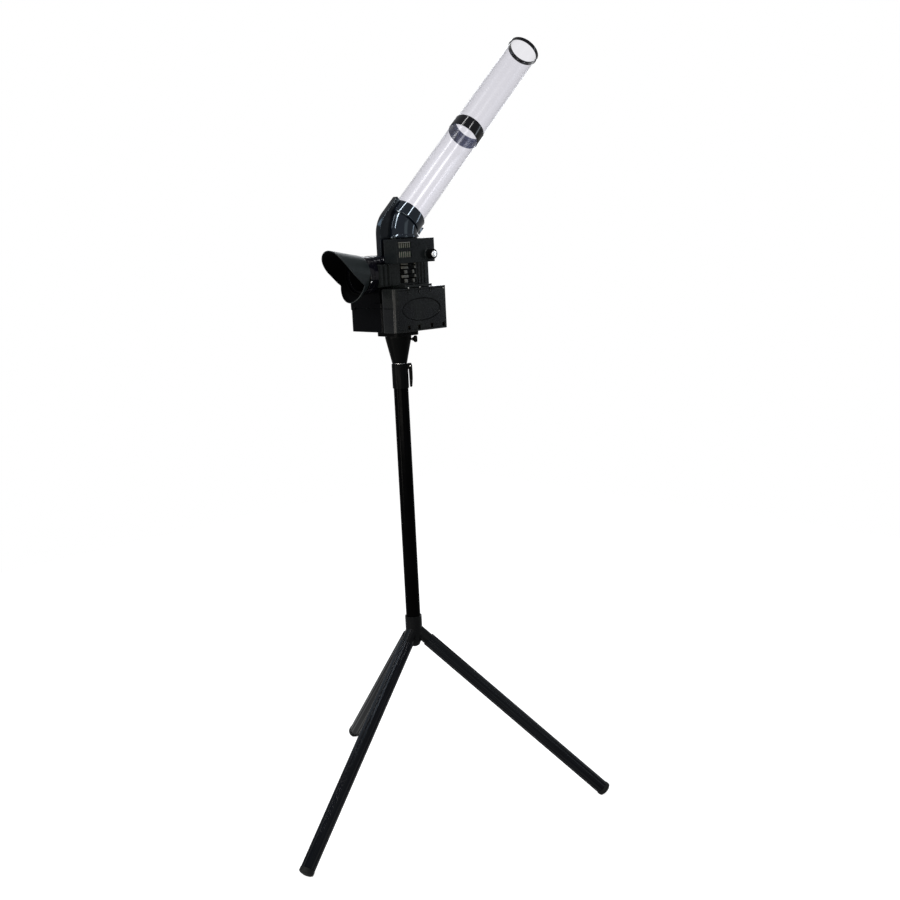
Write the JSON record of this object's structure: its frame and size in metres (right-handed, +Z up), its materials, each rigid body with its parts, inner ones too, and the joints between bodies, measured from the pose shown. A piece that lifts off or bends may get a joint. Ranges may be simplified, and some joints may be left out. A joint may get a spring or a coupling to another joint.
{
  "type": "shuttle launching machine",
  "caption": "Battery-powered shuttle thrower on a three-legged stand: a clear inclined tube feeds an elbow and barrel where counter-turning rollers launch under a flared hood.",
  "frame": {"origin": "centre of the bounding box's footprint, on the floor that the three feet stand on", "axes": "+Z up, -Y the way the shuttles are thrown, +X towards the side with the control box and batteries"},
  "size_m": [0.7985, 0.9565, 1.8703],
  "materials": {
    "satin_black_housing": "satin moulded",
    "gloss_black_elbow": "glossy",
    "clear_tube": "clear, faintly tinted",
    "black_painted_tube": "gloss paint",
    "bare_mast": "bright",
    "black_fitting": "satin",
    "rubber_foot": "matt",
    "tyre_rubber": "matt",
    "white_nylon": "satin",
    "brass_pinion": "bright",
    "bright_steel": "bright",
    "cell_case": "printed wrap",
    "circuit_laminate": "satin",
    "silver_cap": "satin"
  },
  "bodies": {
    "stand": {"tripod_hub": "black_fitting", "outer_pole": "black_painted_tube", "collar_clamp": "black_fitting", "lever_pin": "bright_steel"},
    "leg_front": {"leg_front_tube": "black_painted_tube", "leg_front_foot": "rubber_foot"},
    "leg_right": {"leg_right_tube": "black_painted_tube", "leg_right_foot": "rubber_foot"},
    "leg_left": {"leg_left_tube": "black_painted_tube", "leg_left_foot": "rubber_foot"},
    "lever": {"clamp_lever": "black_fitting"},
    "mast": {"inner_pole": "bare_mast"},
    "head": {"head_socket": "black_fitting", "base_plate": "black_fitting", "base_case": "satin_black_housing", "base_lid": "satin_black_housing", "power_board": "circuit_laminate", "battery_case": "satin_black_housing", "battery_cell_1": "cell_case", "battery_cell_2": "cell_case", "battery_cell_3": "cell_case", "battery_cell_4": "cell_case", "battery_contact_front": "bright_steel", "battery_contact_rear": "bright_steel", "housing_left": "satin_black_housing", "housing_right": "satin_black_housing", "barrel_left": "satin_black_housing", "barrel_right": "satin_black_housing", "launch_motor_left": "bright_steel", "launch_motor_right": "bright_steel", "elbow_left": "gloss_black_elbow", "elbow_right": "gloss_black_elbow", "control_case": "satin_black_housing", "control_board": "circuit_laminate", "speed_sensor": "bright_steel", "feed_motor": "bright_steel", "feed_bracket": "bright_steel"},
    "wing": {"wing_screw": "black_fitting"},
    "battery_door": {"battery_cover": "satin_black_housing"},
    "knob": {"speed_knob": "black_fitting", "knob_cap": "silver_cap"},
    "lock_ring": {"ring_collar": "gloss_black_elbow"},
    "shade": {"hood": "satin_black_housing"},
    "magazine_lower": {"lower_tube": "clear_tube", "coupling_ring": "gloss_black_elbow"},
    "magazine_upper": {"upper_tube": "clear_tube", "end_ring": "gloss_black_elbow"},
    "roller_left": {"roller_hub_left": "white_nylon", "roller_tyre_left": "tyre_rubber"},
    "roller_right": {"roller_hub_right": "white_nylon", "roller_tyre_right": "tyre_rubber"},
    "feed": {"feed_wheel": "white_nylon", "feed_axle": "bright_steel", "feed_gear": "white_nylon"},
    "pinion": {"feed_pinion": "brass_pinion"}
  },
  "joints": [
    {"name": "leg_front_pull", "type": "slide", "parent": "stand", "child": "leg_front", "axis": [0.1602, -0.705, -0.6909], "range_m": [0, 0.055]},
    {"name": "leg_right_pull", "type": "slide", "parent": "stand", "child": "leg_right", "axis": [0.5305, 0.4912, -0.6909], "range_m": [0, 0.055]},
    {"name": "leg_left_pull", "type": "slide", "parent": "stand", "child": "leg_left", "axis": [-0.6906, 0.2138, -0.6909], "range_m": [0, 0.055]},
    {"name": "pole_height", "type": "slide", "parent": "stand", "child": "mast", "axis": [0, 0, 1], "range_m": [0, 0.35]},
    {"name": "clamp_lever_flip", "type": "hinge", "parent": "stand", "child": "lever", "pos_m": [0.0665, 0.00014, 1.0915], "axis": [0.7547, -0.6561, 0], "range_deg": [0, 100]},
    {"name": "head_pan", "type": "hinge", "parent": "mast", "child": "head", "pos_m": [0.0503, -0.0185, 1.13], "axis": [0, 0, 1], "continuous": true},
    {"name": "wing_screw_turn", "type": "hinge", "parent": "head", "child": "wing", "pos_m": [0.06998, 0.00414, 1.154], "axis": [0.6561, 0.7547, 0], "range_deg": [0, 360]},
    {"name": "battery_cover_open", "type": "hinge", "parent": "head", "child": "battery_door", "pos_m": [0.1351, -0.0185, 1.183], "axis": [0, 1, 0], "range_deg": [0, 80]},
    {"name": "speed_knob_turn", "type": "hinge", "parent": "head", "child": "knob", "pos_m": [0.1403, 0.0215, 1.3515], "axis": [1, 0, 0], "range_deg": [0, 290]},
    {"name": "lock_ring_turn", "type": "hinge", "parent": "head", "child": "lock_ring", "pos_m": [0.0503, -0.1097, 1.31], "axis": [0, -1, 0], "range_deg": [0, 30]},
    {"name": "hood_off", "type": "slide", "parent": "head", "child": "shade", "axis": [0, -1, 0], "range_m": [0, 0.03]},
    {"name": "lower_tube_out", "type": "slide", "parent": "head", "child": "magazine_lower", "axis": [0, 0.7278, 0.6858], "range_m": [0, 0.03]},
    {"name": "upper_tube_out", "type": "slide", "parent": "magazine_lower", "child": "magazine_upper", "axis": [0, 0.7278, 0.6858], "range_m": [0, 0.025]},
    {"name": "roller_left_spin", "type": "hinge", "parent": "head", "child": "roller_left", "pos_m": [0.0268, -0.0425, 1.31], "axis": [0, 0, 1], "continuous": true},
    {"name": "roller_right_spin", "type": "hinge", "parent": "head", "child": "roller_right", "pos_m": [0.0738, -0.0425, 1.31], "axis": [0, 0, 1], "continuous": true},
    {"name": "feed_wheel_turn", "type": "hinge", "parent": "head", "child": "feed", "pos_m": [0.103, 0.006, 1.362], "axis": [0, -1, 0], "continuous": true},
    {"name": "feed_pinion_turn", "type": "hinge", "parent": "head", "child": "pinion", "pos_m": [0.11071, -0.0225, 1.35281], "axis": [0, -1, 0], "continuous": true}
  ],
  "couplings": [
    {"joint": "roller_right_spin", "follows": "roller_left_spin", "ratio": -1},
    {"joint": "feed_pinion_turn", "follows": "feed_wheel_turn", "ratio": -3}
  ]
}
